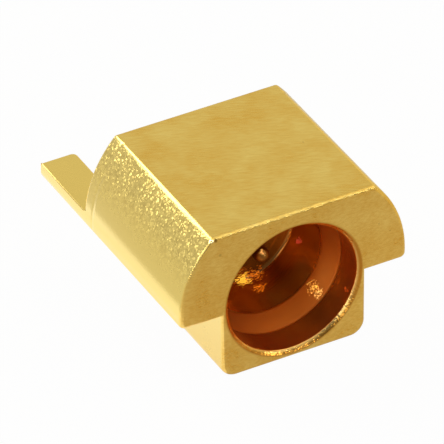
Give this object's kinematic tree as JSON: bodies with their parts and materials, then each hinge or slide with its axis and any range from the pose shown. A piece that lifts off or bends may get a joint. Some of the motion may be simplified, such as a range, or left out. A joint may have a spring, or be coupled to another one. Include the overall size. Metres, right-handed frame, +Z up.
{
  "type": "smp connector",
  "caption": "Gold-plated push-on coaxial connector for a board edge: stepped smooth-bore socket, keel for a slot in the board, rear legs and a round solder tail.",
  "frame": {"origin": "on the bore axis at the front face, in the middle of the socket's mouth", "axes": "-Y out of the socket's mouth, +Z up from the board, +X to the right seen from the front"},
  "size_m": [0.006, 0.007, 0.0041],
  "materials": {
    "shell_gold": "satin gold plating over machined brass",
    "insulator_ptfe": "waxy white machined fluoropolymer",
    "contact_gold": "bright gold plating over turned copper alloy"
  },
  "bodies": {
    "root": {"shell": "shell_gold", "insulator": "insulator_ptfe", "centre_contact": "contact_gold"}
  },
  "joints": []
}
